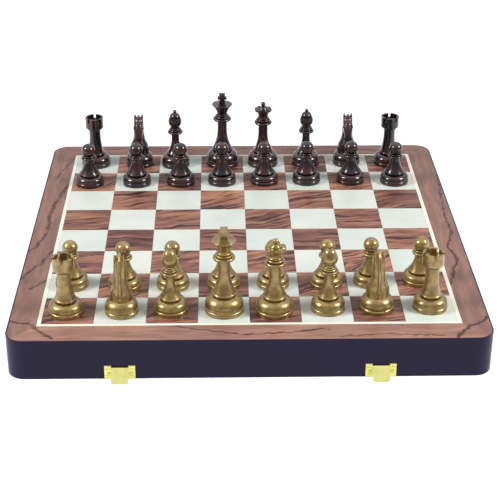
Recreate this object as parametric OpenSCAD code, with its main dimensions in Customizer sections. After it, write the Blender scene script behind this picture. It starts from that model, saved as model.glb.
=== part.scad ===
// Folding chess box, opened flat as a board and set with its men.
// Millimetres, +Z up. The origin lies on the plane of the rims, in the middle of the
// seam between the halves. The front half is at -Y, the rear half folds under it.

/* [Board] */
// Side of one playing square
square_w = 41.1; // [37:0.1:50]
// Width of the pale line round the squares
line_w = 3.2; // [2:0.1:6]
// Width of the veneered border, lacquered edge included
border_w = 22.9; // [18:0.1:34]
// Height of each half, from its rim to the playing surface
half_h = 34.3; // [30:0.1:44]
// Radius of the box's four outer corners
corner_r = 14.5; // [11:0.5:18]
// Gap between the two halves at the seam
seam_gap = 0.3; // [0.2:0.05:0.6]
// Thickness of the veneer
veneer_t = 0.8; // [0.5:0.1:1.2]
// Joint between neighbouring pieces of veneer
veneer_joint = 0.1; // [0.06:0.02:0.2]
// Lacquered lip left round the veneer
lip_w = 0.9; // [0.6:0.1:1.5]

/* [Tray] */
// Thickness of the walls
wall_w = 9; // [8:0.5:11]
// Thickness of the panel under the playing surface
panel_t = 5.5; // [4:0.5:8]
// Width of the ledge that the panel sits on
ledge_w = 4.5; // [3:0.5:6]
// Clearance round the panel in its ledge
panel_fit = 0.1; // [0.05:0.05:0.3]
// Thickness of the felt lining
felt_t = 1; // [0.8:0.1:2]
// Distance from the rim to the edge of the lining
felt_drop = 4; // [2:0.5:8]

/* [Fold hinges] */
// Distance of each hinge from the middle of the seam
hinge_x = 95; // [60:1:130]
// Length of a hinge
hinge_len = 38; // [30:1:50]
// Width of a leaf, from the knuckles' axis
leaf_w = 7.4; // [6.6:0.1:8]
// Thickness of a leaf
leaf_t = 0.9; // [0.7:0.1:1.2]
// Outer radius of a knuckle
knuckle_r = 1.3; // [1.2:0.05:1.6]
// Radius of the hinge pin
hinge_pin_r = 0.65; // [0.5:0.05:0.8]
// Number of knuckles on a hinge
knuckles = 5; // [3:2:7]
// Gap between the rims when the box is shut
rim_gap = 0.2; // [0.1:0.05:0.4]
// Spacing of the screws in a leaf
hinge_screw_pitch = 13; // [9:0.5:14]
// Radius of a hinge screw's shank
hinge_screw_r = 0.9; // [0.7:0.05:1.1]
// Length of a hinge screw
hinge_screw_len = 8; // [5:0.5:12]

/* [Clasps] */
// Distance of each clasp from the middle of the front wall
clasp_x = 101.8; // [70:0.1:140]
// Width of a clasp plate
clasp_w = 24; // [22:0.5:30]
// Height of the top of a clasp plate above the rim
clasp_top = 12; // [11.4:0.1:16]
// Thickness of a clasp plate
clasp_t = 1.2; // [0.9:0.1:1.4]
// Width of a hook
hook_w = 13.2; // [9:0.1:13.4]
// Thickness of a hook's leaf
hook_t = 0.8; // [0.6:0.05:0.9]
// Height of a hook's pin above the rim
hook_pin_z = 9.6; // [9:0.1:10]
// Radius of a hook's pin
hook_pin_r = 0.5; // [0.4:0.05:0.6]
// Outer radius of the curl round the pin
hook_curl_r = 1.1; // [1:0.05:1.2]
// Spacing of the two screws in a plate
clasp_screw_pitch = 18.3; // [17.8:0.1:19]
// Height of the clasp screws above the rim
clasp_screw_z = 5; // [4:0.1:6]
// Radius of a clasp screw's head
clasp_head_r = 1.8; // [1.4:0.1:2]
// Thickness of a catch plate
catch_t = 0.8; // [0.6:0.05:0.9]
// Height of the top of a catch plate above its rim
catch_top = 9; // [8:0.5:14]

/* [King] */
// Diameter of the king's base
king_base_d = 31.9; // [29:0.1:34]
// Diameter and height of the ring above the king's bulge
king_ring_d = 20.8; // [18:0.2:24]
king_ring_z = 16.4; // [14:0.1:18]
// Diameter of the king's stem and the height where it turns straight
king_stem_d = 9.3; // [8:0.1:12]
king_waist_z = 37.5; // [30:0.5:42]
// Diameter and height of the king's collar
king_collar_d = 17.8; // [15:0.2:20]
king_collar_z = 47.6; // [44:0.1:50]
// Diameter and height of the rim of the king's crown
king_crown_d = 19.7; // [17:0.1:22]
king_crown_z = 62.4; // [60.6:0.1:66]
// Height and width of the king's cross
king_cross_h = 10.4; // [8:0.1:12]
king_cross_w = 8.7; // [7:0.1:10]

/* [Queen] */
// Diameter of the queen's base
queen_base_d = 30.4; // [27:0.2:32]
// Diameter and height of the ring above the queen's bulge
queen_ring_d = 19.4; // [17:0.2:22]
queen_ring_z = 14.2; // [12:0.1:16]
// Diameter of the queen's stem and the height where it turns straight
queen_stem_d = 9.3; // [8:0.1:11]
queen_waist_z = 34; // [29:0.5:38]
// Diameter and height of the queen's collar
queen_collar_d = 17.2; // [15:0.2:19]
queen_collar_z = 43.6; // [40:0.1:45]
// Diameter and height of the rim of the queen's coronet
queen_crown_d = 17.2; // [15.6:0.2:19]
queen_crown_z = 57; // [54.6:0.1:59]
// Diameter of the ball on the queen's dome
queen_ball_d = 4.6; // [3.6:0.1:5.4]
// Number of notches in the coronet
queen_notches = 9; // [6:1:12]

/* [Bishop] */
// Diameter of a bishop's base
bishop_base_d = 27.9; // [25:0.1:30]
// Diameter and height of the ring above a bishop's bulge
bishop_ring_d = 17.8; // [15:0.2:20]
bishop_ring_z = 12.7; // [11.6:0.1:14]
// Diameter of a bishop's stem and the height where it turns straight
bishop_stem_d = 7.5; // [6:0.1:9]
bishop_waist_z = 28; // [24:0.5:30]
// Diameter and height of a bishop's collar
bishop_collar_d = 14.8; // [12.6:0.1:17]
bishop_collar_z = 34.5; // [31:0.1:34.8]
// Diameter and height of the middle of a bishop's mitre
bishop_mitre_d = 13.1; // [11:0.1:14]
bishop_mitre_z = 45.6; // [44.6:0.1:46.4]
// Height of a bishop
bishop_h = 57.4; // [56.6:0.1:60]
// Width of the slot in the mitre
bishop_slot = 1.1; // [0.7:0.1:1.6]

/* [Knight] */
// Diameter of a knight's base
knight_base_d = 27.3; // [25:0.1:30]
// Height of the top of a knight's bulge
knight_bulge_z = 13; // [12.2:0.1:14]
// Width of a knight's neck where it meets the bulge
knight_neck_w = 18.4; // [16:0.2:20]
// Width of a knight's head at the ears
knight_head_w = 8.8; // [7.6:0.2:11]
// Thickness of the mane's ridge
knight_mane_w = 2.6; // [1.8:0.1:3.4]
// Height of a knight
knight_h = 52.4; // [50:0.2:56]

/* [Rook] */
// Diameter of a rook's base
rook_base_d = 28.2; // [25:0.2:31]
// Diameter and height of the ring above a rook's bulge
rook_ring_d = 17.8; // [16:0.2:20]
rook_ring_z = 12.4; // [11:0.1:14]
// Diameter of a rook's stem and the height where it turns straight
rook_stem_d = 11; // [9.6:0.2:13]
rook_waist_z = 31; // [26:0.5:34]
// Diameter of a rook's turret
rook_turret_d = 17.4; // [16:0.2:20]
// Height of the underside of a rook's turret
rook_turret_z = 36.8; // [35:0.1:39]
// Height of a rook
rook_h = 49.5; // [48:0.1:54]
// Number of merlons on a turret
rook_merlons = 5; // [4:1:7]
// Width and depth of the gaps between merlons
rook_gap_w = 2; // [1.4:0.1:2.8]
rook_gap_h = 3.8; // [2:0.1:4.4]

/* [Pawn] */
// Diameter of a pawn's base
pawn_base_d = 27.4; // [25:0.1:30]
// Diameter and height of the ring above a pawn's bulge
pawn_ring_d = 19.4; // [17:0.2:21]
pawn_ring_z = 10.8; // [10:0.1:12.6]
// Diameter of a pawn's stem and the height where it turns straight
pawn_stem_d = 7.8; // [6:0.2:9]
pawn_waist_z = 30; // [28:0.5:32]
// Diameter and height of a pawn's collar
pawn_collar_d = 14.4; // [12:0.2:16]
pawn_collar_z = 26.7; // [25:0.1:28]
// Diameter of a pawn's ball
pawn_ball_d = 12.8; // [10.6:0.1:14]
// Height of a pawn
pawn_h = 40.8; // [40:0.1:44]

/* [All men] */
// Height of the plinth under every man
plinth_h = 3.8; // [2.8:0.1:4.4]
// Rounding of the plinth's upper edge
plinth_round = 1.5; // [0.8:0.1:1.8]
// Step from the plinth in to the bulge
bulge_step = 0.4; // [0.2:0.1:1.2]
// Gap between a man and its square
man_gap = 0.05; // [0.02:0.01:0.1]

/* [Hidden] */
$fn = 72;
files = 8;
ranks = 8;
front_ranks = [0:3];
rear_ranks = [4:7];
eps = 0.01;
// How far a cutting form stands past the surface that it cuts.
over = 1;

board_w = files * square_w + 2 * (line_w + border_w);
board_half = board_w / 2;
field_half = files * square_w / 2;
line_half = field_half + line_w;
veneer_z = half_h - veneer_t;
panel_z = veneer_z - panel_t;
fold_z = -rim_gap / 2;

brass_yellow = [0.86, 0.78, 0.38];
lacquer_purple = [0.17, 0.14, 0.22];
rosewood = [0.60, 0.43, 0.37];
dark_veneer = [0.55, 0.35, 0.28];
pale_veneer = [0.88, 0.90, 0.85];
cream = [0.97, 0.95, 0.88];
felt_black = [0.10, 0.09, 0.12];
mdf_brown = [0.58, 0.46, 0.33];
gold = [0.72, 0.62, 0.36];
bronze = [0.20, 0.11, 0.12];

MEN = ["rook_left", "knight_left", "bishop_left", "king", "queen",
       "bishop_right", "knight_right", "rook_right"];

// The rear half is the front half's mirror image across the seam.
module rear() mirror([0, 1, 0]) children();

// Plan of the front half, drawn in by inset at its three outer sides and by
// seam_inset at the seam, with round corners at the front.
module half_plan(inset, seam_inset = 0) {
    reach = board_half - inset;
    r = corner_r - inset;
    depth = reach - seam_gap / 2 - seam_inset;
    translate([-reach, r - reach]) square([2 * reach, depth - r]);
    translate([r - reach, -reach]) square([2 * (reach - r), r + eps]);
    for (side = [-1, 1]) translate([side * (reach - r), r - reach]) circle(r);
}

// A rectangle of the front half inside the border, out to half_w from the middle.
module field_plan(half_w) {
    translate([-half_w, -half_w]) square([2 * half_w, half_w - seam_gap / 2]);
}

module slab(z, t) translate([0, 0, z]) linear_extrude(t) children();

// Walls of one half: a ledge inside the top carries the panel, and a thin lip
// stands round the veneer.
module frame_body() {
    difference() {
        slab(0, half_h) half_plan(0);
        slab(-eps, half_h + 2 * eps) half_plan(wall_w, wall_w);
        slab(panel_z, half_h) half_plan(wall_w - ledge_w, wall_w - ledge_w);
        slab(veneer_z, half_h) half_plan(lip_w, -1);
        for (side = [-1, 1]) translate([side * hinge_x, 0, 0]) hinge_recess();
    }
}

module front_frame() color(lacquer_purple) difference() {
    frame_body();
    for (side = [-1, 1], hole = [-1, 1])
        translate([side * clasp_x + hole * clasp_screw_pitch / 2, -board_half, clasp_screw_z])
            clasp_screw_hole();
}

module rear_frame() color(lacquer_purple) difference() {
    rear() frame_body();
    for (side = [-1, 1], hole = [-1, 1])
        translate([side * clasp_x + hole * clasp_screw_pitch / 2, board_half, clasp_screw_z])
            mirror([0, 1, 0]) clasp_screw_hole();
}

module panel_body() {
    side_inset = wall_w - ledge_w + panel_fit;
    slab(panel_z, panel_t) half_plan(side_inset, side_inset);
}
module front_panel() color(mdf_brown) panel_body();
module rear_panel() color(mdf_brown) rear() panel_body();

// Felt on the underside of the panel and down the inside of the walls.
module lining_body() {
    difference() {
        slab(felt_drop, panel_z - felt_drop) half_plan(wall_w, wall_w);
        slab(felt_drop - eps, panel_z - felt_drop - felt_t + eps)
            half_plan(wall_w + felt_t, wall_w + felt_t);
    }
}
module front_lining() color(felt_black) lining_body();
module rear_lining() color(felt_black) rear() lining_body();

// Three border strips, mitred at the two outer corners.
module border_body() {
    mitre_len = 2 * border_w;
    slab(veneer_z, veneer_t) difference() {
        half_plan(lip_w + veneer_joint);
        translate([-line_half - veneer_joint, -line_half - veneer_joint])
            square([2 * (line_half + veneer_joint), board_half]);
        for (side = [-1, 1]) translate([side * line_half, -line_half])
            rotate(side < 0 ? 225 : -45) translate([-veneer_joint, -veneer_joint / 2])
                square([mitre_len, veneer_joint]);
    }
}
module front_border() color(rosewood) border_body();
module rear_border() color(rosewood) rear() border_body();

module line_body() {
    slab(veneer_z, veneer_t) difference() {
        field_plan(line_half);
        translate([-field_half - veneer_joint, -field_half - veneer_joint])
            square([2 * (field_half + veneer_joint), board_half]);
    }
}
module front_line() color(cream) line_body();
module rear_line() color(cream) rear() line_body();

// The squares of some ranks whose rank and file add up to an even or odd number.
module squares(ranks_wanted, odd) {
    for (rank = ranks_wanted, file = [0:files - 1])
        if ((rank + file) % 2 == odd) {
            near_gap = rank == ranks / 2 ? seam_gap : veneer_joint;
            far_gap = rank == ranks / 2 - 1 ? seam_gap : veneer_joint;
            translate([(file - files / 2) * square_w + veneer_joint / 2,
                       (rank - ranks / 2) * square_w + near_gap / 2, veneer_z])
                cube([square_w - veneer_joint,
                      square_w - (near_gap + far_gap) / 2, veneer_t]);
        }
}
module front_dark_squares() color(dark_veneer) squares(front_ranks, 0);
module front_pale_squares() color(pale_veneer) squares(front_ranks, 1);
module rear_dark_squares() color(dark_veneer) squares(rear_ranks, 0);
module rear_pale_squares() color(pale_veneer) squares(rear_ranks, 1);

// Fold hinges. The knuckles' axis lies on the line where the rims meet at the seam.
leaf_z = 0.1;
leaf_fit = 0.1;
knuckle_gap = 0.2;
knuckle_fit = 0.3;
hinge_bore_r = hinge_pin_r + 0.05;
knuckle_len = (hinge_len - (knuckles - 1) * knuckle_gap) / knuckles;
leaf_root = knuckle_r + knuckle_fit;
hinge_screw_y = (leaf_w + leaf_root) / 2;
hinge_head_r = 2 * hinge_screw_r;
pilot_fit = 0.05;
pilot_end = 0.1;
tab_share = 0.62;
cross_share = 0.7;

module along_x(len) rotate([0, 90, 0]) translate([0, 0, -len / 2]) linear_extrude(len) children();

// Pocket for a leaf in the rim, channel for the knuckles and pilot holes.
module hinge_recess() {
    pocket_len = hinge_len + 2 * leaf_fit;
    translate([-pocket_len / 2, -leaf_w - leaf_fit, -over])
        cube([pocket_len, leaf_w + leaf_fit + over, over + leaf_z + leaf_t]);
    translate([0, 0, fold_z]) along_x(pocket_len) circle(leaf_root);
    for (hole = [-1:1]) translate([hole * hinge_screw_pitch, -hinge_screw_y, -over])
        cylinder(h = over + leaf_z + hinge_screw_len + pilot_end, r = hinge_screw_r + pilot_fit);
}

// One leaf in the front half, with every second knuckle from the given one on.
module hinge_leaf(first) {
    tab_y = knuckle_r * tab_share;
    difference() {
        union() {
            translate([-hinge_len / 2, -leaf_w, leaf_z])
                cube([hinge_len, leaf_w - leaf_root, leaf_t]);
            for (k = [first:2:knuckles - 1])
                translate([(k - (knuckles - 1) / 2) * (knuckle_len + knuckle_gap), 0, 0]) {
                    translate([0, 0, fold_z]) along_x(knuckle_len) circle(knuckle_r);
                    translate([-knuckle_len / 2, -leaf_root - eps, leaf_z])
                        cube([knuckle_len, leaf_root + eps - tab_y, leaf_t]);
                }
        }
        translate([0, 0, fold_z]) along_x(hinge_len + 2 * over) circle(hinge_bore_r);
        for (hole = [-1:1]) translate([hole * hinge_screw_pitch, -hinge_screw_y, leaf_z - eps]) {
            cylinder(h = leaf_t + 2 * eps, r = hinge_screw_r + pilot_fit);
            cylinder(h = leaf_t, r1 = hinge_head_r + pilot_fit, r2 = hinge_screw_r + pilot_fit);
        }
    }
}
module front_hinge_leaves() color(brass_yellow)
    for (side = [-1, 1]) translate([side * hinge_x, 0, 0]) hinge_leaf(0);
module rear_hinge_leaves() color(brass_yellow) rear()
    for (side = [-1, 1]) translate([side * hinge_x, 0, 0]) hinge_leaf(1);

module hinge_pins() color(brass_yellow)
    for (side = [-1, 1]) translate([side * hinge_x, 0, fold_z])
        along_x(hinge_len) circle(hinge_pin_r);

// Countersunk screw pointing up into the rim, with a cross in its head.
module hinge_screw() {
    cross_w = 0.5;
    cross_h = 0.5;
    difference() {
        union() {
            cylinder(h = leaf_t, r1 = hinge_head_r, r2 = hinge_screw_r);
            cylinder(h = hinge_screw_len, r = hinge_screw_r);
        }
        for (turn = [45, 135]) rotate(turn)
            translate([-hinge_head_r * cross_share, -cross_w / 2, -eps])
                cube([2 * hinge_head_r * cross_share, cross_w, cross_h]);
    }
}
module half_hinge_screws()
    for (side = [-1, 1], hole = [-1:1])
        translate([side * hinge_x + hole * hinge_screw_pitch, -hinge_screw_y, leaf_z])
            hinge_screw();
module front_hinge_screws() color(brass_yellow) half_hinge_screws();
module rear_hinge_screws() color(brass_yellow) rear() half_hinge_screws();

// Clasps. These are drawn with +Y pointing out of the wall, at the wall's face.
plate_low = 0.4;
hook_pin_y = 1.2;
hook_side_gap = 0.15;
notch_gap = 0.4;
notch_low = hook_pin_z - hook_curl_r - notch_gap;
ear_len = 1.6;
pin_fit = 0.02;
hook_bore_r = hook_pin_r + 0.05;
hook_leaf_y = hook_pin_y + hook_curl_r - hook_t;
ridge_h = 0.8;
ridge_y = hook_leaf_y - hook_side_gap;
tip_h = 0.9;
tip_gap = 0.2;
tip_grip = 0.4;
tip_y = ridge_y - tip_grip;
hook_reach = rim_gap + leaf_z + ridge_h + tip_gap + tip_h;
hook_len = hook_pin_z + hook_reach;
// The hook leans out until its tip just clears the surface that the box lies on.
lean_less = 1.2;
hook_lean = acos((hook_pin_z - tip_gap) / hook_len) - lean_less;
clasp_screw_r = 1;
clasp_screw_len = 6;
clasp_head_h = 0.8;
plate_r = 1.2;
catch_r = 0.6;

module on_front(x) translate([x, -board_half, 0]) mirror([0, 1, 0]) children();
module on_rear(x) translate([x, board_half, 0]) children();

// Hole that enters a wall at the origin and runs along +Y.
module clasp_screw_hole() rotate([-90, 0, 0]) translate([0, 0, -over])
    cylinder(h = over + clasp_screw_len + pilot_end, r = clasp_screw_r + pilot_fit);

// Upright plate with two round lower corners, from low to top.
module plate_plan(w, low, top, r) {
    translate([-w / 2, low + r]) square([w, top - low - r]);
    translate([r - w / 2, low]) square([w - 2 * r, r + eps]);
    for (side = [-1, 1]) translate([side * (w / 2 - r), low + r]) circle(r);
}
module upright(t) rotate([90, 0, 0]) translate([0, 0, -t]) linear_extrude(t) children();

module clasp_plate() {
    difference() {
        union() {
            upright(clasp_t) plate_plan(clasp_w, plate_low, clasp_top, plate_r);
            for (side = [-1, 1])
                translate([side * (hook_w / 2 + hook_side_gap + ear_len / 2), hook_pin_y, hook_pin_z])
                    along_x(ear_len) circle(hook_curl_r);
        }
        translate([-hook_w / 2 - hook_side_gap, -over, notch_low])
            cube([hook_w + 2 * hook_side_gap, clasp_t + 2 * over, clasp_top]);
        translate([0, hook_pin_y, hook_pin_z]) along_x(clasp_w) circle(hook_pin_r + pin_fit);
        translate([0, -clasp_top, 0]) cube([2 * clasp_w, 2 * clasp_top, 4 * clasp_top], center = true);
        for (hole = [-1, 1]) translate([hole * clasp_screw_pitch / 2, -over, clasp_screw_z])
            rotate([-90, 0, 0]) cylinder(h = clasp_t + 2 * over, r = clasp_screw_r + pilot_fit);
    }
}
module clasp_plates() color(brass_yellow)
    for (side = [-1, 1]) on_front(side * clasp_x) clasp_plate();

// Hook, hanging straight down from its pin: curl, leaf and a tip bent inwards.
module hook_body() {
    drop = hook_pin_z - hook_len;
    difference() {
        union() {
            translate([0, hook_pin_y, hook_pin_z]) along_x(hook_w) circle(hook_curl_r);
            translate([0, hook_leaf_y, 0]) upright(hook_t)
                plate_plan(hook_w, drop, hook_pin_z, plate_r);
            intersection() {
                upright(hook_leaf_y + hook_t) plate_plan(hook_w, drop, hook_pin_z, plate_r);
                translate([-hook_w / 2, tip_y, drop])
                    cube([hook_w, hook_leaf_y - tip_y + eps, tip_h]);
            }
        }
        translate([0, hook_pin_y, hook_pin_z]) along_x(hook_w + 2 * over) circle(hook_bore_r);
    }
}
module leaning_hook(x) color(brass_yellow) on_front(x)
    translate([0, hook_pin_y, hook_pin_z]) rotate([hook_lean, 0, 0])
        translate([0, -hook_pin_y, -hook_pin_z]) hook_body();
module left_hook() leaning_hook(-clasp_x);
module right_hook() leaning_hook(clasp_x);

module hook_pins() color(brass_yellow)
    for (side = [-1, 1]) on_front(side * clasp_x)
        translate([0, hook_pin_y, hook_pin_z])
            along_x(hook_w + 2 * (hook_side_gap + ear_len)) circle(hook_pin_r);

// Pan-head screw that points along -Y into a wall, with a cross in its head.
module clasp_screw(seat_y) {
    cross_w = 0.6;
    translate([0, seat_y, clasp_screw_z]) rotate([-90, 0, 0]) difference() {
        union() {
            cylinder(h = clasp_head_h / 2, r = clasp_head_r);
            translate([0, 0, clasp_head_h / 2 - eps])
                cylinder(h = clasp_head_h / 2, r1 = clasp_head_r, r2 = clasp_head_r * cross_share);
            translate([0, 0, -clasp_screw_len]) cylinder(h = clasp_screw_len + eps, r = clasp_screw_r);
        }
        for (turn = [45, 135]) rotate(turn)
            translate([-clasp_head_r * cross_share, -cross_w / 2, clasp_head_h / 2])
                cube([2 * clasp_head_r * cross_share, cross_w, clasp_head_h]);
    }
}
module clasp_screws() color(brass_yellow)
    for (side = [-1, 1], hole = [-1, 1])
        on_front(side * clasp_x + hole * clasp_screw_pitch / 2) clasp_screw(clasp_t);

// Catch on the rear wall: a plate with a ridge at the rim for the hook to hold.
module catch_plate() {
    difference() {
        union() {
            upright(catch_t) plate_plan(clasp_w, leaf_z, catch_top, catch_r);
            translate([-hook_w / 2, 0, leaf_z]) cube([hook_w, ridge_y, ridge_h]);
        }
        for (hole = [-1, 1]) translate([hole * clasp_screw_pitch / 2, -over, clasp_screw_z])
            rotate([-90, 0, 0]) cylinder(h = catch_t + 2 * over, r = clasp_screw_r + pilot_fit);
    }
}
module catch_plates() color(brass_yellow)
    for (side = [-1, 1]) on_rear(side * clasp_x) catch_plate();
module catch_screws() color(brass_yellow)
    for (side = [-1, 1], hole = [-1, 1])
        on_rear(side * clasp_x + hole * clasp_screw_pitch / 2) clasp_screw(catch_t);

// Turned forms, drawn as half sections with the axis at the left.
module turned() rotate_extrude($fn = 96) intersection() {
    translate([0, -over]) square([2 * king_base_d, 2 * king_crown_z]);
    children();
}

// Disc with a round edge, half_t thick above and below its middle at z.
module ring(r, z, half_t) {
    translate([0, z - half_t]) square([r - half_t, 2 * half_t]);
    translate([r - half_t, z]) circle(half_t, $fn = 32);
}

// Solid between two radii with a hollow curved side, bow deep at the middle.
module flare(r0, z0, r1, z1, bow) {
    chord = norm([r1 - r0, z1 - z0]);
    arc_r = (chord * chord / 4 + bow * bow) / (2 * bow);
    out = [z1 - z0, r0 - r1] / chord;
    middle = [(r0 + r1) / 2, (z0 + z1) / 2];
    difference() {
        polygon([[0, z0], [r0, z0], [r1, z1], [0, z1]]);
        translate(middle + out * (arc_r - bow)) circle(arc_r, $fn = 180);
    }
}

// Plinth and bulge of every man, up to top_z.
module foot(base_d, top_z) {
    base_r = base_d / 2;
    lower_share = 0.3;
    bulge_arc = (top_z - plinth_h) / (1 + lower_share);
    square([base_r - plinth_round, plinth_h]);
    square([base_r, plinth_h - plinth_round]);
    translate([base_r - plinth_round, plinth_h - plinth_round]) circle(plinth_round, $fn = 32);
    intersection() {
        translate([base_r - bulge_step - bulge_arc, plinth_h + lower_share * bulge_arc])
            circle(bulge_arc, $fn = 64);
        translate([0, plinth_h - eps]) square([base_r, top_z]);
    }
    translate([0, plinth_h - eps])
        square([base_r - bulge_step - bulge_arc, top_z - plinth_h + eps]);
}

// Foot with a ring above the bulge, then a stem that is straight from waist_z to top_z.
ring_t = 1.2;
ring_step = 1.9;
groove_h = 0.5;
stem_step = 0.6;
module foot_and_stem(base_d, ring_d, ring_z, stem_d, waist_z, top_z) {
    stem_r = stem_d / 2;
    low_r = ring_d / 2 - stem_step;
    low_z = ring_z + ring_t / 2;
    run = low_r - stem_r;
    rise = waist_z - low_z;
    arc_r = (run * run + rise * rise) / (2 * run);
    foot(base_d, ring_z - ring_t - groove_h);
    translate([0, ring_z - 2 * ring_t - groove_h])
        square([ring_d / 2 - ring_step, 2 * ring_t + groove_h]);
    ring(ring_d / 2, ring_z, ring_t);
    difference() {
        polygon([[0, low_z], [low_r, low_z], [stem_r, waist_z], [0, waist_z]]);
        translate([stem_r + arc_r, waist_z]) circle(arc_r, $fn = 180);
    }
    translate([0, waist_z - eps]) square([stem_r, top_z - waist_z + eps]);
}

// Straight side that touches two balls on the axis.
module ball_tangent(r0, z0, r1, z1) {
    lean = asin((r0 - r1) / (z1 - z0));
    polygon([[0, z0], [r0 * cos(lean), z0 + r0 * sin(lean)],
             [r1 * cos(lean), z1 + r1 * sin(lean)], [0, z1]]);
}

module ball(r, z) translate([0, z]) circle(r, $fn = 64);

// Cross that stands on the origin and faces Y. Its arms widen outwards.
module cross_body(w, h, t) {
    bar_waist = w * 0.52;
    bar_end = w * 0.68;
    arm_waist = w * 0.22;
    arm_end = w * 0.32;
    arm_z = h * 0.55;
    rotate([90, 0, 0]) translate([0, 0, -t / 2]) linear_extrude(t) {
        polygon([[-bar_end / 2, 0], [bar_end / 2, 0], [bar_waist / 2, arm_z],
                 [bar_end / 2, h], [-bar_end / 2, h], [-bar_waist / 2, arm_z]]);
        for (side = [-1, 1])
            polygon([[0, arm_z - arm_waist / 2], [side * w / 2, arm_z - arm_end / 2],
                     [side * w / 2, arm_z + arm_end / 2], [0, arm_z + arm_waist / 2]]);
    }
}

module king() {
    collar_t = 1.4;
    second_ring = [7.2, king_collar_z + 2.3, 0.9];
    third_ring = [5.8, king_collar_z + 4.1, 0.8];
    neck_r = king_stem_d / 2 + 0.1;
    neck_z = king_collar_z + 6;
    crown_r = king_crown_d / 2;
    crown_t = 0.7;
    crown_bow = 0.3;
    cup_end = 0.4 * crown_t;
    top_z = king_crown_z + crown_t;
    top_rise = 0.9;
    cross_r = 2.6;
    cross_t = 3.4;
    turned() {
        foot_and_stem(king_base_d, king_ring_d, king_ring_z, king_stem_d, king_waist_z, neck_z);
        ring(king_collar_d / 2, king_collar_z, collar_t);
        ring(second_ring[0], second_ring[1], second_ring[2]);
        ring(third_ring[0], third_ring[1], third_ring[2]);
        flare(neck_r, neck_z - eps, crown_r - cup_end, king_crown_z - cup_end, crown_bow);
        ring(crown_r, king_crown_z, crown_t);
        polygon([[0, top_z], [crown_r - 2 * crown_t, top_z - eps],
                 [cross_r, top_z + top_rise], [0, top_z + top_rise]]);
    }
    translate([0, 0, top_z + top_rise / 2 - crown_t / 2])
        cross_body(king_cross_w, king_cross_h, cross_t);
}

module queen() {
    collar_t = 1.3;
    second_ring = [6.9, queen_collar_z + 2.8, 0.9];
    third_ring = [5.8, queen_collar_z + 4.7, 0.7];
    neck_r = queen_stem_d / 2;
    neck_z = queen_collar_z + 6.6;
    crown_r = queen_crown_d / 2;
    crown_bow = 0.7;
    rim_h = 1.8;
    rim_lean = 0.5;
    rim_t = 1.3;
    rim_low = queen_crown_z - rim_h / 2;
    rim_top = queen_crown_z + rim_h / 2;
    dish_r = 4.3;
    dish_z = queen_crown_z - 0.1;
    dome_r = 4.5;
    dome_z = queen_crown_z - 1;
    ball_r = queen_ball_d / 2;
    ball_sink = 0.3;
    notch_r = 1.9;
    notch_rise = 1.1;
    difference() {
        turned() difference() {
            union() {
                foot_and_stem(queen_base_d, queen_ring_d, queen_ring_z, queen_stem_d,
                              queen_waist_z, neck_z);
                ring(queen_collar_d / 2, queen_collar_z, collar_t);
                ring(second_ring[0], second_ring[1], second_ring[2]);
                ring(third_ring[0], third_ring[1], third_ring[2]);
                flare(neck_r, neck_z - eps, crown_r, rim_low, crown_bow);
                polygon([[0, rim_low - eps], [crown_r, rim_low - eps],
                         [crown_r - rim_lean, rim_top], [0, rim_top]]);
            }
            polygon([[0, dish_z], [dish_r, dish_z], [crown_r - rim_lean - rim_t, rim_top + eps],
                     [0, rim_top + eps]]);
        }
        for (notch = [0:queen_notches - 1]) rotate(360 * notch / queen_notches)
            translate([crown_r, 0, rim_top + notch_rise]) rotate([0, 90, 0])
                cylinder(h = crown_r, r = notch_r, center = true);
    }
    turned() {
        ball(dome_r, dome_z);
        ball(ball_r, dome_z + dome_r + ball_r - ball_sink);
    }
}

module bishop() {
    collar_t = 1.2;
    second_ring = [6.2, bishop_collar_z + 2.2, 0.9];
    third_ring = [5.3, bishop_collar_z + 3.7, 0.7];
    ball_r = 1.7;
    ball_sink = 0.7;
    tip_r = 5.2;
    tip_z = bishop_h - 2 * ball_r - tip_r + ball_sink;
    mitre_r = bishop_mitre_d / 2;
    slot_start = 1.8;
    slot_up = 2.6;
    slot_rise = 36;
    difference() {
        turned() {
            foot_and_stem(bishop_base_d, bishop_ring_d, bishop_ring_z, bishop_stem_d, bishop_waist_z,
                          bishop_mitre_z);
            ring(bishop_collar_d / 2, bishop_collar_z, collar_t);
            ring(second_ring[0], second_ring[1], second_ring[2]);
            ring(third_ring[0], third_ring[1], third_ring[2]);
            ball(mitre_r, bishop_mitre_z);
            ball_tangent(mitre_r, bishop_mitre_z, tip_r, tip_z);
            ball(tip_r, tip_z);
            ball(ball_r, bishop_h - ball_r);
        }
        translate([0, slot_start, bishop_mitre_z + slot_up]) rotate([slot_rise, 0, 0])
            translate([-mitre_r - over, 0, -bishop_slot / 2])
                cube([2 * (mitre_r + over), 2 * mitre_r, bishop_slot]);
    }
}

module rook() {
    turret_r = rook_turret_d / 2;
    chamfer_h = 2.5;
    chamfer_w = 2.5;
    wall_t = 2.1;
    cup_r = turret_r - wall_t;
    cup_depth = 5;
    difference() {
        turned() difference() {
            union() {
                foot_and_stem(rook_base_d, rook_ring_d, rook_ring_z, rook_stem_d,
                              rook_waist_z, rook_turret_z);
                polygon([[0, rook_turret_z - eps], [turret_r - chamfer_w, rook_turret_z - eps],
                         [turret_r, rook_turret_z + chamfer_h], [turret_r, rook_h], [0, rook_h]]);
            }
            translate([-over, rook_h - cup_depth]) square([cup_r + over, cup_depth + over]);
        }
        for (gap = [0:rook_merlons - 1]) rotate(360 * gap / rook_merlons - 90)
            translate([0, -rook_gap_w / 2, rook_h - rook_gap_h])
                cube([rook_turret_d, rook_gap_w, rook_gap_h + over]);
    }
}

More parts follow.
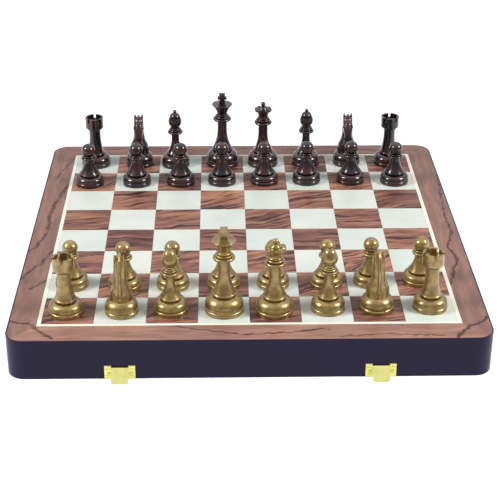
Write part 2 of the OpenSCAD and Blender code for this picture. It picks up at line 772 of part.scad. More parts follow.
module pawn() {
    collar_t = 1.2;
    second_ring = [5.8, pawn_collar_z + 2, 0.8];
    ball_r = pawn_ball_d / 2;
    ball_z = pawn_h - ball_r;
    turned() {
        foot_and_stem(pawn_base_d, pawn_ring_d, pawn_ring_z, pawn_stem_d, pawn_waist_z, ball_z);
        ring(pawn_collar_d / 2, pawn_collar_z, collar_t);
        ring(second_ring[0], second_ring[1], second_ring[2]);
        ball(ball_r, ball_z);
    }
}

// Knight's outline from its right side, with its foot left out. Points follow the
// breast, throat, jaw, muzzle, brow, forelock, ear, crest and back of the neck.
function knight_side(h) = [
    [9.0, 11.0], [9.3, 15.0], [8.8, 19.0], [7.4, 23.0], [5.4, 26.6], [3.6, 29.2],
    [3.4, 30.4], [5.2, 30.2], [7.6, 29.4], [10.0, 28.8], [11.6, 29.4], [12.4, 31.0],
    [12.3, 33.2], [11.0, 35.6], [9.2, 38.2], [7.8, 41.2], [6.6, 44.0], [5.4, h - 5.6],
    [4.4, h - 3.4], [3.4, h - 1.2], [2.2, h - 4.4], [0, h - 3.6], [-2.6, h - 4.8],
    [-5.0, h - 7.2], [-7.0, h - 11], [-8.4, h - 15.6], [-9.0, 31], [-9.2, 25],
    [-9.1, 18.0], [-8.6, 11.0]
];

// Ridge of the mane, from the forelock over the crest and down to a point.
function mane_side(h) = [
    [4.0, h - 4.8], [3.2, h - 1.6], [1.2, h], [-1.4, h - 1], [-4.2, h - 2.8], [-6.8, h - 5.8],
    [-8.8, h - 10], [-10.2, h - 15.4], [-10.9, 31], [-11.1, 25], [-10.8, 19.5],
    [-9.4, 14.6], [-6.4, 22.0], [-5.6, 32.0], [-2.0, 40.0]
];

// Knight from the front: half widths at the heights of the neck and the head.
function knight_front(h) = [
    [knight_neck_w / 2, 11.0], [knight_neck_w / 2, 16.0], [knight_neck_w / 2 - 0.5, 19.0],
    [knight_neck_w / 2 - 1.8, 22.0], [knight_neck_w / 2 - 3.0, 24.6],
    [knight_head_w / 2 + 0.9, 28.0], [knight_head_w / 2 + 0.3, 32.0],
    [knight_head_w / 2 + 0.2, 40.0], [knight_head_w / 2 - 0.1, 43.0],
    [knight_head_w / 2, h - 5], [knight_head_w / 2 - 0.2, h - 2.4],
    [knight_head_w / 2 - 1.0, h - 0.8], [knight_mane_w / 2 + 0.4, h - 4.4]
];

module knight() {
    edge_in = 0.4;
    outline = knight_front(knight_h);
    mirrored = [for (i = [len(outline) - 1:-1:0]) [-outline[i][0], outline[i][1]]];
    reach = knight_base_d;
    turned() foot(knight_base_d, knight_bulge_z);
    intersection() {
        rotate([90, 0, 90]) translate([0, 0, -reach]) linear_extrude(2 * reach)
            polygon(knight_side(knight_h));
        rotate([90, 0, 0]) translate([0, 0, -reach]) linear_extrude(2 * reach)
            polygon(concat(outline, mirrored));
        cylinder(h = 2 * knight_h, r = knight_base_d / 2 - edge_in);
    }
    rotate([90, 0, 90]) translate([0, 0, -knight_mane_w / 2]) linear_extrude(knight_mane_w)
        polygon(mane_side(knight_h));
}

// Where each man stands, from the middle of its square, by file from the left.
gold_back_at = [[-2.4, -1.8], [0.7, -2], [-1.3, 0], [0.3, 0], [-0.5, -1.8], [1.3, 0.8],
                [-0.5, 1.1], [1.5, 2.5]];
gold_pawns_at = [[-1.9, 2], [0.6, -0.5], [-0.7, 0], [0, 0.6], [0, 1], [3.1, 1], [-1.8, 4],
                 [-1.3, 5.3]];
dark_back_at = [[-1.5, 2.8], [0.6, 2.5], [-4.9, 1.5], [0.2, 3.2], [-0.8, 3.2], [0.7, 3.2],
                [0.2, 3.2], [0.7, 2.8]];
dark_pawns_at = [[-4, -2.3], [0, -1.5], [1, -0.8], [-0.4, 0.2], [-0.6, 0.8], [-1, 1.7],
                 [0.5, 1.7], [1.6, -1]];

// Places a man on its square. The dark men face the front, the gold men the rear.
module on_square(file, rank, places) {
    turn = rank < ranks / 2 ? 0 : 180;
    translate([(file - (files - 1) / 2) * square_w + places[file][0],
               (rank - (ranks - 1) / 2) * square_w + places[file][1], half_h + man_gap])
        rotate(turn) children();
}

module man(kind) {
    if (kind == "king") king();
    if (kind == "queen") queen();
    if (kind == "bishop_left" || kind == "bishop_right") bishop();
    if (kind == "knight_left" || kind == "knight_right") knight();
    if (kind == "rook_left" || kind == "rook_right") rook();
}

front_frame();
front_panel();
front_lining();
front_border();
front_line();
front_dark_squares();
front_pale_squares();
rear_frame();
rear_panel();
rear_lining();
rear_border();
rear_line();
rear_dark_squares();
rear_pale_squares();
front_hinge_leaves();
rear_hinge_leaves();
hinge_pins();
front_hinge_screws();
rear_hinge_screws();
clasp_plates();
left_hook();
right_hook();
hook_pins();
clasp_screws();
catch_plates();
catch_screws();
for (file = [0:files - 1]) {
    color(gold) on_square(file, 0, gold_back_at) man(MEN[file]);
    color(gold) on_square(file, 1, gold_pawns_at) pawn();
    color(bronze) on_square(file, ranks - 1, dark_back_at) man(MEN[file]);
    color(bronze) on_square(file, ranks - 2, dark_pawns_at) pawn();
}
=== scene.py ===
"""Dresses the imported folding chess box: veneers, lacquer, felt, brass and metal men."""
import math

import bmesh
import bpy
from mathutils import Matrix, Vector


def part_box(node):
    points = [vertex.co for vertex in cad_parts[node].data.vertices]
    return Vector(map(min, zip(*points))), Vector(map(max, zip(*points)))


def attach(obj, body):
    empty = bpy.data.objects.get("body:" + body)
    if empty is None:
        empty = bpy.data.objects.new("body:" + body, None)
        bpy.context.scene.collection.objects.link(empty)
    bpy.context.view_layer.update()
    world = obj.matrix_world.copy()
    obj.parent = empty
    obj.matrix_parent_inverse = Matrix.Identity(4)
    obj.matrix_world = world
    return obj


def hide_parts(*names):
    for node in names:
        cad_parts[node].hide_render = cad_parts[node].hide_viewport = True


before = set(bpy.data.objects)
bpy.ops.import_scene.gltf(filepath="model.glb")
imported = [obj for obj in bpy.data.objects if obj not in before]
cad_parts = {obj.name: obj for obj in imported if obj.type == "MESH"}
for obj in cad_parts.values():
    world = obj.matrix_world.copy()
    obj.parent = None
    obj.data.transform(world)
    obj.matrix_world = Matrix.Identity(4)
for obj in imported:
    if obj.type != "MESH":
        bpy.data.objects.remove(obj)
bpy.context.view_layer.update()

MM = 0.001
FILES = 8
VENEER_JOINT = 0.1 * MM

# The board's measures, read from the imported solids.
squares_low, squares_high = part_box("front_dark_squares")
BOARD_TOP = squares_high.z
SQUARE = (squares_high.x - squares_low.x + VENEER_JOINT) / FILES


def rgb(red, green, blue):
    """A linear colour from one written as 8-bit display values, by the sRGB curve."""
    def linear(value):
        share = value / 255
        return share / 12.92 if share <= 0.04045 else ((share + 0.055) / 1.055) ** 2.4
    return (linear(red), linear(green), linear(blue), 1.0)


class Shader:
    """Builds the nodes of one material or of the world."""

    # Where a Mix node has its two inputs and its output, for each kind of data.
    MIX_SOCKETS = {"FLOAT": (2, 3, 0), "VECTOR": (4, 5, 1), "RGBA": (6, 7, 2)}

    def __init__(self, owner):
        owner.use_nodes = True
        self.tree = owner.node_tree
        self.tree.nodes.clear()

    def add(self, kind, inputs=None, **settings):
        """Adds a node, sets its settings, and links or sets its inputs by name or index."""
        node = self.tree.nodes.new("ShaderNode" + kind)
        for name, value in settings.items():
            setattr(node, name, value)
        for key, value in (inputs or {}).items():
            self.join(node.inputs[key], value)
        return node

    def join(self, socket, value):
        if isinstance(value, bpy.types.NodeSocket):
            self.tree.links.new(value, socket)
        else:
            socket.default_value = value

    def math(self, operation, *values, clamp=False):
        inputs = dict(enumerate(values))
        return self.add("Math", inputs, operation=operation, use_clamp=clamp).outputs[0]

    def vector(self, operation, *values):
        """A vector node's vector or value output, whichever the operation gives."""
        node = self.add("VectorMath", operation=operation)
        for index, value in enumerate(values):
            scalar = operation == "SCALE" and index == 1
            self.join(node.inputs["Scale"] if scalar else node.inputs[index], value)
        gives_value = operation in ("DOT_PRODUCT", "LENGTH", "DISTANCE")
        return node.outputs["Value" if gives_value else "Vector"]

    def noise(self, vector, scale, detail=3.0, roughness=0.5, output="Fac"):
        node = self.add("TexNoise", {"Vector": vector, "Scale": scale, "Detail": detail,
                                     "Roughness": roughness})
        return node.outputs[output]

    def stretch(self, vector, factors):
        return self.vector("MULTIPLY", vector, factors)

    def span(self, value, low, high, to_low=0.0, to_high=1.0):
        """Maps low..high onto to_low..to_high smoothly, held at both ends."""
        node = self.add("MapRange", {"Value": value, "From Min": low, "From Max": high,
                                     "To Min": to_low, "To Max": to_high},
                        interpolation_type="SMOOTHSTEP")
        return node.outputs["Result"]

    def ramp(self, value, *stops):
        """Colours at places along 0..1, given as (place, colour)."""
        node = self.add("ValToRGB", {"Fac": value})
        elements = node.color_ramp.elements
        while len(elements) < len(stops):
            elements.new(0.5)
        for element, (place, colour) in zip(elements, stops):
            element.position = place
            element.color = colour
        return node.outputs["Color"]

    def mix(self, factor, first, second, kind="RGBA"):
        """Goes from the first to the second colour, vector or value as the factor grows."""
        at_first, at_second, at_output = self.MIX_SOCKETS[kind]
        inputs = {0: factor, at_first: first, at_second: second}
        return self.add("Mix", inputs, data_type=kind).outputs[at_output]

    def object_point(self):
        return self.add("TexCoord").outputs["Object"]

    def bump(self, height, distance, strength=1.0):
        node = self.add("Bump", {"Height": height, "Distance": distance, "Strength": strength})
        return node.outputs["Normal"]

    def surface(self, **inputs):
        """Ends the material with a Principled shader; an underscore stands for a blank."""
        named = {key.replace("_", " "): value for key, value in inputs.items()}
        shader = self.add("BsdfPrincipled", named)
        output = self.tree.nodes.new("ShaderNodeOutputMaterial")
        self.tree.links.new(shader.outputs[0], output.inputs["Surface"])


def material(name):
    made = bpy.data.materials.new(name)
    return made, Shader(made)


def tile_point(shader, turn):
    """Object coordinates shifted and turned by a random amount, up to turn, in each square."""
    point = shader.object_point()
    square = shader.vector("FLOOR", shader.vector("DIVIDE", point, (SQUARE, SQUARE, 1.0)))
    random = shader.add("TexWhiteNoise", {"Vector": square}, noise_dimensions="3D")
    angle = shader.math("MULTIPLY", random.outputs["Value"], -turn)
    turned = shader.add("VectorRotate", {"Vector": point, "Angle": angle},
                        rotation_type="Z_AXIS").outputs["Vector"]
    far_away = (3.0, 3.0, 3.0)
    shift = shader.stretch(random.outputs["Color"], far_away)
    return shader.vector("ADD", turned, shift), random.outputs["Value"]


def warp(shader, point, scale, amount, detail=2.0):
    """Moves a point about by noise, by at most about half the amount."""
    moved = shader.noise(point, scale, detail, output="Color")
    mean = (0.5, 0.5, 0.5)
    centred = shader.vector("SUBTRACT", moved, mean)
    return shader.vector("ADD", point, shader.vector("SCALE", centred, amount))


# The thin lacquer that all the veneers have in common.
VENEER_GLOSS = {"Specular_IOR_Level": 0.2, "Coat_Weight": 0.08, "Coat_Roughness": 0.12}


def dark_veneer():
    made, s = material("dark_veneer")
    point, chance = tile_point(s, math.radians(32))
    bent = warp(s, point, 30.0, 0.016)
    bands = s.noise(s.stretch(bent, (20.0, 150.0, 1.0)), 1.0, 3.0, 0.55)
    fibre = s.noise(s.stretch(bent, (90.0, 1100.0, 1.0)), 1.0, 2.0)
    streaks = s.noise(s.stretch(bent, (22.0, 230.0, 1.0)), 1.0, 3.0, 0.6)
    tone = s.math("ADD", s.math("MULTIPLY", bands, 0.8), s.math("MULTIPLY", chance, 0.14))
    ground = s.ramp(tone, (0.30, rgb(96, 58, 58)), (0.42, rgb(140, 94, 80)),
                    (0.52, rgb(172, 120, 97)), (0.66, rgb(200, 144, 112)))
    fibred = s.mix(s.span(fibre, 0.4, 0.68, 0.0, 0.26), ground, rgb(104, 62, 58))
    veined = s.mix(s.span(streaks, 0.53, 0.61, 0.0, 0.92), fibred, rgb(54, 30, 38))
    s.surface(Base_Color=veined, Roughness=s.span(fibre, 0.0, 1.0, 0.42, 0.3),
              Normal=s.bump(s.math("ADD", fibre, streaks), 0.04 * MM), **VENEER_GLOSS)
    return made


def pale_veneer():
    made, s = material("pale_veneer")
    point, chance = tile_point(s, math.radians(5))
    bent = warp(s, point, 20.0, 0.01)
    clouds = s.noise(point, 42.0, 2.0)
    fibre = s.noise(s.stretch(bent, (30.0, 900.0, 1.0)), 1.0, 3.0)
    tone = s.math("ADD", s.math("MULTIPLY", clouds, 0.7), s.math("MULTIPLY", chance, 0.25))
    ground = s.ramp(tone, (0.25, rgb(210, 221, 214)), (0.5, rgb(221, 227, 219)),
                    (0.75, rgb(232, 233, 222)))
    fibred = s.mix(s.span(fibre, 0.5, 0.78, 0.0, 0.24), ground, rgb(200, 204, 190))
    s.surface(Base_Color=fibred, Roughness=0.34, Normal=s.bump(fibre, 0.03 * MM),
              **VENEER_GLOSS)
    return made


def cream_line():
    made, s = material("cream_line")
    point = s.object_point()
    fibre = s.noise(s.stretch(point, (300.0, 300.0, 1.0)), 1.0, 3.0)
    colour = s.mix(s.span(fibre, 0.3, 0.75, 0.0, 0.4), rgb(249, 245, 232), rgb(236, 228, 206))
    s.surface(Base_Color=colour, Roughness=0.34, Normal=s.bump(fibre, 0.03 * MM),
              **VENEER_GLOSS)
    return made


# Dark veins in the border veneer: points along each, in millimetres on the board, and its
# width. The figure is drawn after the look of the wood.
VEINS = [
    ([(-167, 100), (-171, 86), (-177, 52), (-179, 27), (-177, 0)], 1.5),
    ([(-177, 0), (-180, -19), (-184, -33), (-189, -40)], 0.9),
    ([(-166, -36), (-171, -48), (-176, -64), (-184, -76), (-190, -92)], 1.1),
    ([(-167, -93), (-174, -100), (-180, -108)], 1.2),
    ([(-168, 162), (-175, 137), (-181, 113)], 0.8),
    ([(-189, -160), (-172, -165), (-168, -172), (-154, -186)], 1.3),
    ([(-60, -168), (-28, -177), (-9, -182), (26, -180), (62, -174)], 0.8),
    ([(70, -186), (110, -183), (150, -186)], 0.6),
    ([(190, 118), (185, 57), (183, 21), (184, -10), (176, -35)], 1.0),
    ([(176, -35), (181, -60), (176, -76), (168, -104)], 1.2),
    ([(190, -158), (180, -168), (172, -172), (160, -189)], 1.4),
    ([(-150, 181), (-90, 186), (-40, 179), (10, 184)], 0.9),
    ([(40, 178), (90, 185), (150, 176)], 0.8),
]
# Where a vein ends and where it is darkest, as shares of its width out from its middle.
VEIN_EDGE, VEIN_CORE = 1.8, 0.4


def near_path(s, point, points, width):
    """1 on a line through the points, falling to 0 at its edge."""
    nearest = None
    for start, end in zip(points, points[1:]):
        along = Vector((end[0] - start[0], end[1] - start[1], 0.0))
        base = (start[0], start[1], 0.0)
        offset = s.vector("SUBTRACT", point, base)
        share = s.math("DIVIDE", s.vector("DOT_PRODUCT", offset, tuple(along)),
                       along.length_squared, clamp=True)
        foot = s.add("VectorMath", {0: tuple(along), "Scale": share}, operation="SCALE")
        distance = s.vector("LENGTH", s.vector("SUBTRACT", offset, foot.outputs["Vector"]))
        nearest = distance if nearest is None else s.math("MINIMUM", nearest, distance)
    return s.span(nearest, width * VEIN_EDGE, width * VEIN_CORE)


def border_veneer():
    made, s = material("border_veneer")
    point = s.object_point()
    parts = s.add("SeparateXYZ", {0: point})
    beside = s.math("GREATER_THAN", s.math("ABSOLUTE", parts.outputs["X"]),
                    s.math("ABSOLUTE", parts.outputs["Y"]))
    swapped = s.add("CombineXYZ", {0: parts.outputs["Y"], 1: parts.outputs["X"]})
    grain = s.mix(beside, point, swapped.outputs[0], "VECTOR")
    bent = warp(s, grain, 16.0, 0.02)
    bands = s.noise(s.stretch(bent, (14.0, 120.0, 1.0)), 1.0, 4.0, 0.6)
    fibre = s.noise(s.stretch(bent, (60.0, 1300.0, 1.0)), 1.0, 2.0)
    ground = s.ramp(bands, (0.30, rgb(136, 98, 90)), (0.48, rgb(158, 118, 104)),
                    (0.64, rgb(182, 138, 116)))
    # Painted shade: the side strips and the rear strip are mixed towards a dark purple, darker
    # than the front strip as though less lit.
    rear = s.math("GREATER_THAN", parts.outputs["Y"], 0.0)
    painted_shade_strips = s.mix(s.math("MULTIPLY", s.math("MAXIMUM", beside, rear), 0.3), ground,
                  rgb(74, 56, 66))
    fibred = s.mix(s.span(fibre, 0.38, 0.7, 0.0, 0.22), painted_shade_strips, rgb(112, 74, 72))
    flat = s.stretch(point, (1.0, 1.0, 0.0))
    wander = s.stretch(warp(s, flat, 150.0, 0.006), (1 / MM, 1 / MM, 0.0))
    veins = None
    for points, width in VEINS:
        vein = near_path(s, wander, points, width)
        veins = vein if veins is None else s.math("MAXIMUM", veins, vein)
    broken = s.span(s.noise(point, 110.0, 2.0), 0.28, 0.55, 0.45, 1.0)
    veined = s.mix(s.math("MULTIPLY", s.math("MULTIPLY", veins, broken), 0.88), fibred,
                   rgb(66, 34, 44))
    halo = s.mix(s.math("MULTIPLY", s.span(bands, 0.62, 0.74), 0.5), veined, rgb(98, 62, 66))
    s.surface(Base_Color=halo, Roughness=0.36, Normal=s.bump(fibre, 0.04 * MM),
              **VENEER_GLOSS)
    return made


def lacquer():
    made, s = material("purple_lacquer")
    point = s.object_point()
    clouds = s.noise(point, 14.0, 3.0)
    pores = s.noise(s.stretch(point, (60.0, 60.0, 900.0)), 1.0, 3.0)
    colour = s.mix(s.span(clouds, 0.3, 0.7), rgb(25, 17, 51), rgb(31, 22, 59))
    s.surface(Base_Color=colour, Roughness=s.span(clouds, 0.3, 0.7, 0.3, 0.38),
              Specular_IOR_Level=0.2, Coat_Weight=0.06, Coat_Roughness=0.2,
              Normal=s.bump(s.math("ADD", clouds, s.math("MULTIPLY", pores, 0.2)), 0.08 * MM))
    return made


def felt():
    made, s = material("black_felt")
    point = s.object_point()
    fuzz = s.noise(point, 1800.0, 3.0, 0.7)
    clumps = s.noise(point, 160.0, 3.0)
    colour = s.mix(s.span(s.math("MULTIPLY", fuzz, clumps), 0.12, 0.4), rgb(22, 20, 26),
                   rgb(52, 48, 58))
    s.surface(Base_Color=colour, Roughness=0.95, Sheen_Weight=0.4, Sheen_Roughness=0.5,
              Normal=s.bump(fuzz, 0.4 * MM))
    return made


def panel_board():
    made, s = material("panel_board")
    point = s.object_point()
    chips = s.noise(point, 900.0, 4.0, 0.7)
    colour = s.ramp(chips, (0.3, rgb(132, 104, 76)), (0.7, rgb(176, 146, 112)))
    s.surface(Base_Color=colour, Roughness=0.8, Normal=s.bump(chips, 0.2 * MM))
    return made


def metal(name, colour, deep, roughness, metallic=1.0, coat=0.0, scuff=0.05, cloud=220.0):
    """Plated or polished metal, lacquered or bare, with clouding and fine wear."""
    made, s = material(name)
    point = s.object_point()
    clouds = s.noise(point, cloud, 3.0)
    marks = s.noise(point, 2200.0, 2.0)
    tint = s.mix(s.span(clouds, 0.38, 0.64), colour, deep)
    gloss = s.math("ADD", s.span(clouds, 0.3, 0.7, roughness, roughness + scuff),
                   s.span(marks, 0.45, 0.8, 0.0, scuff))
    s.surface(Base_Color=tint, Metallic=metallic, Roughness=gloss, Coat_Weight=coat,
              Coat_Roughness=0.04, Normal=s.bump(marks, 0.008 * MM))
    return made


VENEERS = {
    "border": border_veneer(), "line": cream_line(), "dark_squares": dark_veneer(),
    "pale_squares": pale_veneer(), "frame": lacquer(), "lining": felt(),
    "panel": panel_board(),
}
BRASS = metal("polished_brass", rgb(250, 246, 160), rgb(244, 236, 138), 0.32, metallic=0.6)
GOLD = metal("gold_plate", rgb(162, 138, 77), rgb(136, 108, 62), 0.32, metallic=0.75, coat=1.0)
BRONZE = metal("dark_bronze_plate", rgb(60, 26, 28), rgb(16, 9, 20), 0.28, metallic=0.6,
               coat=1.0, cloud=90.0)


def finish_of(node):
    """The material of a CAD node, by its name."""
    if node.startswith("gold_"):
        return GOLD
    if node.startswith("dark_"):
        return BRONZE
    half, _, piece = node.partition("_")
    if half in ("front", "rear") and piece in VENEERS:
        return VENEERS[piece]
    return BRASS


for name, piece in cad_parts.items():
    piece.data.materials.clear()
    piece.data.materials.append(finish_of(name))

# A knight's neck and head, level by level: height, front, back and half width, in
# millimetres, with the knight facing +Y.
NECK = [
    (11, 9.0, -8.6, 9.3), (15, 9.4, -8.8, 9.5), (18.5, 9.3, -8.7, 9.3), (21.5, 8.8, -8.4, 8.4),
    (24, 7.8, -7.9, 7.1), (26.5, 6.6, -7.3, 6.1), (30, 5.2, -6.6, 5.4), (34, 4.8, -6.1, 5.2),
    (38, 5.4, -5.4, 5.1), (42, 5.8, -4.4, 5.0), (45, 5.4, -3.2, 4.8), (47.4, 4.2, -2.0, 4.2),
    (48.8, 2.6, -1.2, 2.8),
]
# Its muzzle, from the brow to the lips: place along Y, height, half width, half depth.
MUZZLE = [
    (1.5, 43.4, 4.5, 5.2), (4.5, 40.4, 4.8, 5.2), (7.0, 37.2, 4.5, 4.5), (9.2, 34.4, 3.8, 3.6),
    (10.6, 32.2, 3.6, 3.1), (11.6, 30.8, 3.4, 2.6), (12.2, 30.0, 2.6, 1.7),
]
# Its mane, from the forelock over the crest to the point low on its back: place along Y,
# height, half width.
MANE = [
    (4.8, 47.0, 1.1), (3.9, 50.8, 1.3), (2.4, 52.5, 1.4), (0.2, 52.1, 1.45), (-2.8, 50.6, 1.45),
    (-5.6, 48.2, 1.45), (-8.0, 44.0, 1.45), (-9.8, 38.0, 1.45), (-10.7, 31.0, 1.45),
    (-11.2, 25.0, 1.5), (-11.4, 20.4, 1.6), (-11.3, 18.4, 2.2), (-11.0, 16.6, 1.9),
    (-10.6, 14.8, 1.0), (-10.2, 13.4, 0.3),
]
# How deep the mane reaches into the neck, towards this place along Y and height.
MANE_DEPTH = 4.6
CREST = (-1.0, 46.0)
# The way the muzzle's sections are deep, square to the line of the face.
ACROSS_FACE = (0, 0.69, 0.72)
# Centre and radii of the jaw, and of the eye on the right.
JAW = ((0, 4.4, 35.8), (5.0, 4.6, 5.2))
EYE = ((4.2, 6.4, 40.8), (1.0, 1.4, 1.2))
# Middle of the right ear at its base and its tip, its radii across at shares of the way up,
# and how much longer they are from front to back.
EAR_BASE, EAR_TIP = (2.9, -0.2, 45.0), (3.6, -1.8, 52.0)
EAR_RADII = ((0, 1.8), (0.5, 1.4), (0.85, 0.85), (1, 0.4))
EAR_STRETCH = 1.3


def oval(centre, across, along, count=32):
    """Points of an oval round centre, out to across and along."""
    turns = [2 * math.pi * step / count for step in range(count)]
    return [centre + across * math.cos(turn) + along * math.sin(turn) for turn in turns]


def loft(mesh, rings):
    """Joins rings of points into one closed skin."""
    rows = [[mesh.verts.new(point) for point in ring] for ring in rings]
    for low, high in zip(rows, rows[1:]):
        for index, corner in enumerate(low):
            after = (index + 1) % len(low)
            mesh.faces.new((corner, low[after], high[after], high[index]))
    mesh.faces.new(list(reversed(rows[0])))
    mesh.faces.new(rows[-1])


def blob(mesh, centre, radii):
    """An ellipsoid round centre."""
    levels = 12
    rings = []
    for level in range(1, levels):
        lean = math.pi * level / levels
        middle = Vector((centre[0], centre[1], centre[2] - radii[2] * math.cos(lean)))
        rings.append(oval(middle, Vector((radii[0] * math.sin(lean), 0, 0)),
                          Vector((0, radii[1] * math.sin(lean), 0))))
    loft(mesh, rings)


def on_side(place, side):
    """A place on the right, or for side -1 its mirror image on the left."""
    return Vector((side * place[0], place[1], place[2]))


def knight_head():
    """A knight without its foot, in millimetres: one smooth skin over neck, head and mane."""
    made = bmesh.new()
    x_axis = Vector((1, 0, 0))
    y_axis = Vector((0, 1, 0))
    loft(made, [oval(Vector((0, (front + back) / 2, z)), x_axis * half,
                     y_axis * ((front - back) / 2)) for z, front, back, half in NECK])
    loft(made, [oval(Vector((0, y, z)), x_axis * half, Vector(ACROSS_FACE) * depth)
                for y, z, half, depth in MUZZLE])
    blob(made, *JAW)
    for side in (-1, 1):
        eye_at, eye_radii = EYE
        blob(made, on_side(eye_at, side), eye_radii)
        base = on_side(EAR_BASE, side)
        tip = on_side(EAR_TIP, side)
        loft(made, [oval(base.lerp(tip, share), x_axis * radius,
                         y_axis * radius * EAR_STRETCH) for share, radius in EAR_RADII])
    rings = []
    for y, z, half in MANE:
        outer = Vector((0, y, z))
        inward = (Vector((0, CREST[0], min(z, CREST[1]))) - outer).normalized() * MANE_DEPTH
        rings.append(oval(outer + inward / 2, x_axis * half, inward / 2))
    loft(made, rings)
    rough = bpy.data.meshes.new("knight_rough")
    made.to_mesh(rough)
    made.free()
    return remeshed(rough)


def remeshed(rough):
    """The mesh as one skin of small even faces, smoothed."""
    holder = bpy.data.objects.new("remesher", rough)
    bpy.context.scene.collection.objects.link(holder)
    skin = holder.modifiers.new("skin", "REMESH")
    skin.mode = "VOXEL"
    skin.voxel_size = 0.32
    ease = holder.modifiers.new("ease", "SMOOTH")
    ease.factor = 0.5
    ease.iterations = 4
    graph = bpy.context.evaluated_depsgraph_get()
    made = bpy.data.meshes.new_from_object(holder.evaluated_get(graph))
    bpy.data.objects.remove(holder)
    bpy.data.meshes.remove(rough)
    return made


# The foot under it: a plinth with a small edge below and a round one above, then a bulge set
# in from it, of which a lower share curves back under its widest level. The steps make the
# round edge and the bulge, the sides the way round the axis.
PLINTH_H, PLINTH_EDGE, PLINTH_ROUND = 3.8, 0.4, 1.5
BULGE_STEP, LOWER_SHARE, BULGE_TOP = 0.4, 0.3, 13.0
ROUND_STEPS, BULGE_STEPS, FOOT_SIDES = 8, 18, 96


def knight_foot(mesh, base_r):
    """Adds the plinth and the bulge, turned about the axis, in millimetres."""
    arc = (BULGE_TOP - PLINTH_H) / (1 + LOWER_SHARE)
    arc_at = (base_r - BULGE_STEP - arc, PLINTH_H + LOWER_SHARE * arc)
    start = -math.asin(LOWER_SHARE)
    profile = [(base_r - PLINTH_EDGE, 0.0), (base_r, PLINTH_EDGE),
               (base_r, PLINTH_H - PLINTH_ROUND)]
    for step in range(1, ROUND_STEPS + 1):
        turn = math.pi / 2 * step / ROUND_STEPS
        profile.append((base_r - PLINTH_ROUND * (1 - math.cos(turn)),
                        PLINTH_H - PLINTH_ROUND * (1 - math.sin(turn))))
    for step in range(BULGE_STEPS + 1):
        turn = start + (math.pi / 2 - start) * step / BULGE_STEPS
        profile.append((arc_at[0] + arc * math.cos(turn), arc_at[1] + arc * math.sin(turn)))
    loft(mesh, [oval(Vector((0, 0, z)), Vector((r, 0, 0)), Vector((0, r, 0)), FOOT_SIDES)
                for r, z in profile])


def knights():
    """Four cast knights in place of the plain solids, all from one mesh."""
    low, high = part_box("gold_knight_left")
    base_r = (high.x - low.x) / 2 / MM
    body = bmesh.new()
    body.from_mesh(knight_head())
    knight_foot(body, base_r)
    body.transform(Matrix.Scale(MM, 4))
    for face in body.faces:
        face.smooth = True
    for side, finish, turn in (("gold", GOLD, 0.0), ("dark", BRONZE, math.pi)):
        for place in ("left", "right"):
            node = side + "_knight_" + place
            low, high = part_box(node)
            middle = Vector(((low.x + high.x) / 2, (low.y + high.y) / 2, low.z))
            mesh = bpy.data.meshes.new(node + "_cast")
            body.to_mesh(mesh)
            mesh.transform(Matrix.Translation(middle) @ Matrix.Rotation(turn, 4, "Z"))
            mesh.materials.append(finish)
            made = bpy.data.objects.new(node + "_cast", mesh)
            bpy.context.scene.collection.objects.link(made)
            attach(made, node)
            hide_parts(node)
    body.free()


knights()


def camera():
    """The photograph's viewpoint: its aim on the board, distance, turn and field of view."""
    aim = Vector((2.8 * MM, -40.7 * MM, BOARD_TOP))
    distance = 1150.8 * MM
    azimuth, elevation, roll = (math.radians(angle) for angle in (-1.48, 27.545, 0.33))
    sensor = 36.0
    focal_share = 2.643
    back = Vector((math.sin(azimuth) * math.cos(elevation),
                   -math.cos(azimuth) * math.cos(elevation), math.sin(elevation)))
    data = bpy.data.cameras.new("camera")
    data.sensor_width = sensor
    data.lens = focal_share * sensor
    data.clip_start = 0.01
    made = bpy.data.objects.new("camera", data)
    bpy.context.scene.collection.objects.link(made)
    upright = back.to_track_quat("Z", "Y").to_matrix().to_4x4()
    made.matrix_world = (Matrix.Translation(aim + back * distance) @ upright
                         @ Matrix.Rotation(roll, 4, "Z"))
    bpy.context.scene.camera = made


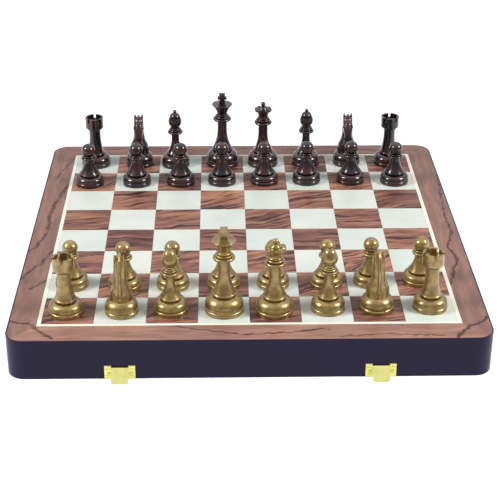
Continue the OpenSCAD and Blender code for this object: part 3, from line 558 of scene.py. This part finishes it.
def softbox(name, side):
    """A square lamp high at one side of the board, aimed at the men."""
    reach = 1.45
    size = 0.4
    radiance = 26.0
    towards = Vector((side * 0.773, -0.23, 0.586)).normalized()
    data = bpy.data.lights.new(name, "AREA")
    data.shape = "SQUARE"
    data.size = size
    data.energy = radiance * math.pi * size * size
    made = bpy.data.objects.new(name, data)
    bpy.context.scene.collection.objects.link(made)
    made.location = towards * reach
    made.rotation_euler = towards.to_track_quat("Z", "Y").to_euler()


def studio():
    """White to the camera. In gloss it is bright overhead and dim behind the camera."""
    world = bpy.data.worlds.new("studio")
    bpy.context.scene.world = world
    s = Shader(world)
    direction = s.add("TexCoord").outputs["Generated"]
    parts = s.add("SeparateXYZ", {0: direction})
    rear = s.span(parts.outputs["Y"], -0.75, 0.35, 0.3, 0.5)
    overhead = s.span(parts.outputs["Z"], 0.2, 0.8, 1.0, 2.6)
    seen_in_gloss = s.math("MULTIPLY", rear, overhead)
    rays = s.add("LightPath").outputs
    clear = s.math("MAXIMUM", rays["Is Glossy Ray"], rays["Is Transmission Ray"])
    ambient = 0.4
    white = 1.0
    light = s.mix(clear, ambient, seen_in_gloss, "FLOAT")
    level = s.mix(rays["Is Camera Ray"], light, white, "FLOAT")
    background = s.add("Background", {"Color": (1.0, 1.0, 1.0, 1.0), "Strength": level})
    output = s.tree.nodes.new("ShaderNodeOutputWorld")
    s.tree.links.new(background.outputs[0], output.inputs["Surface"])


def floor():
    """Plain pale floor that takes a faint shadow. It looks white to the camera and in gloss."""
    made_of, s = material("pale_floor")
    rays = s.add("LightPath").outputs
    gloss = s.math("MAXIMUM", rays["Is Glossy Ray"], rays["Is Transmission Ray"])
    seen = s.math("MAXIMUM", rays["Is Camera Ray"], gloss)
    glow = 0.75
    s.surface(Base_Color=(0.5, 0.5, 0.5, 1.0), Roughness=0.9,
              Emission_Color=(1.0, 1.0, 1.0, 1.0),
              Emission_Strength=s.math("MULTIPLY", seen, glow))
    reach = 3.0
    mesh = bpy.data.meshes.new("floor")
    mesh.from_pydata([(-reach, -reach, 0), (reach, -reach, 0), (reach, reach, 0),
                      (-reach, reach, 0)], [], [(0, 1, 2, 3)])
    mesh.materials.append(made_of)
    made = bpy.data.objects.new("floor", mesh)
    bpy.context.scene.collection.objects.link(made)


camera()
softbox("softbox_left", -1)
softbox("softbox_right", 1)
studio()
floor()
bpy.context.scene.view_settings.view_transform = "Standard"
